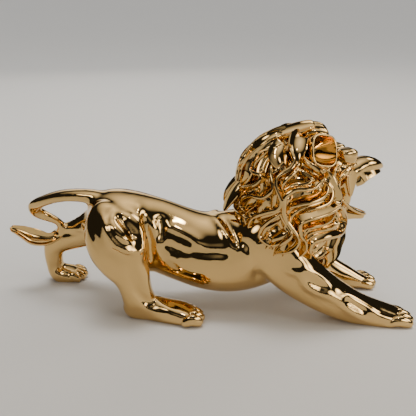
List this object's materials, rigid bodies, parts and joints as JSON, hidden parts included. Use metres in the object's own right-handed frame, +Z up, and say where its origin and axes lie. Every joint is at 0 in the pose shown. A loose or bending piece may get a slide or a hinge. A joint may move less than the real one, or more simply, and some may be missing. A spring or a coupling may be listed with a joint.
{
  "type": "lion statue",
  "caption": "Roaring lion in a low stretch, chest down and hindquarters raised, with a wavy mane and a looped tail, standing on four flat soles.",
  "frame": {"origin": "on the ground, at the middle of the lion's bounding box", "axes": "+X the way the lion faces, -Y its near side in the picture, +Z up"},
  "size_m": [0.4016, 0.1256, 0.1898],
  "materials": {
    "gold_plate": "mirror-polished gold plating"
  },
  "bodies": {
    "root": {"lion": "gold_plate"}
  },
  "joints": []
}
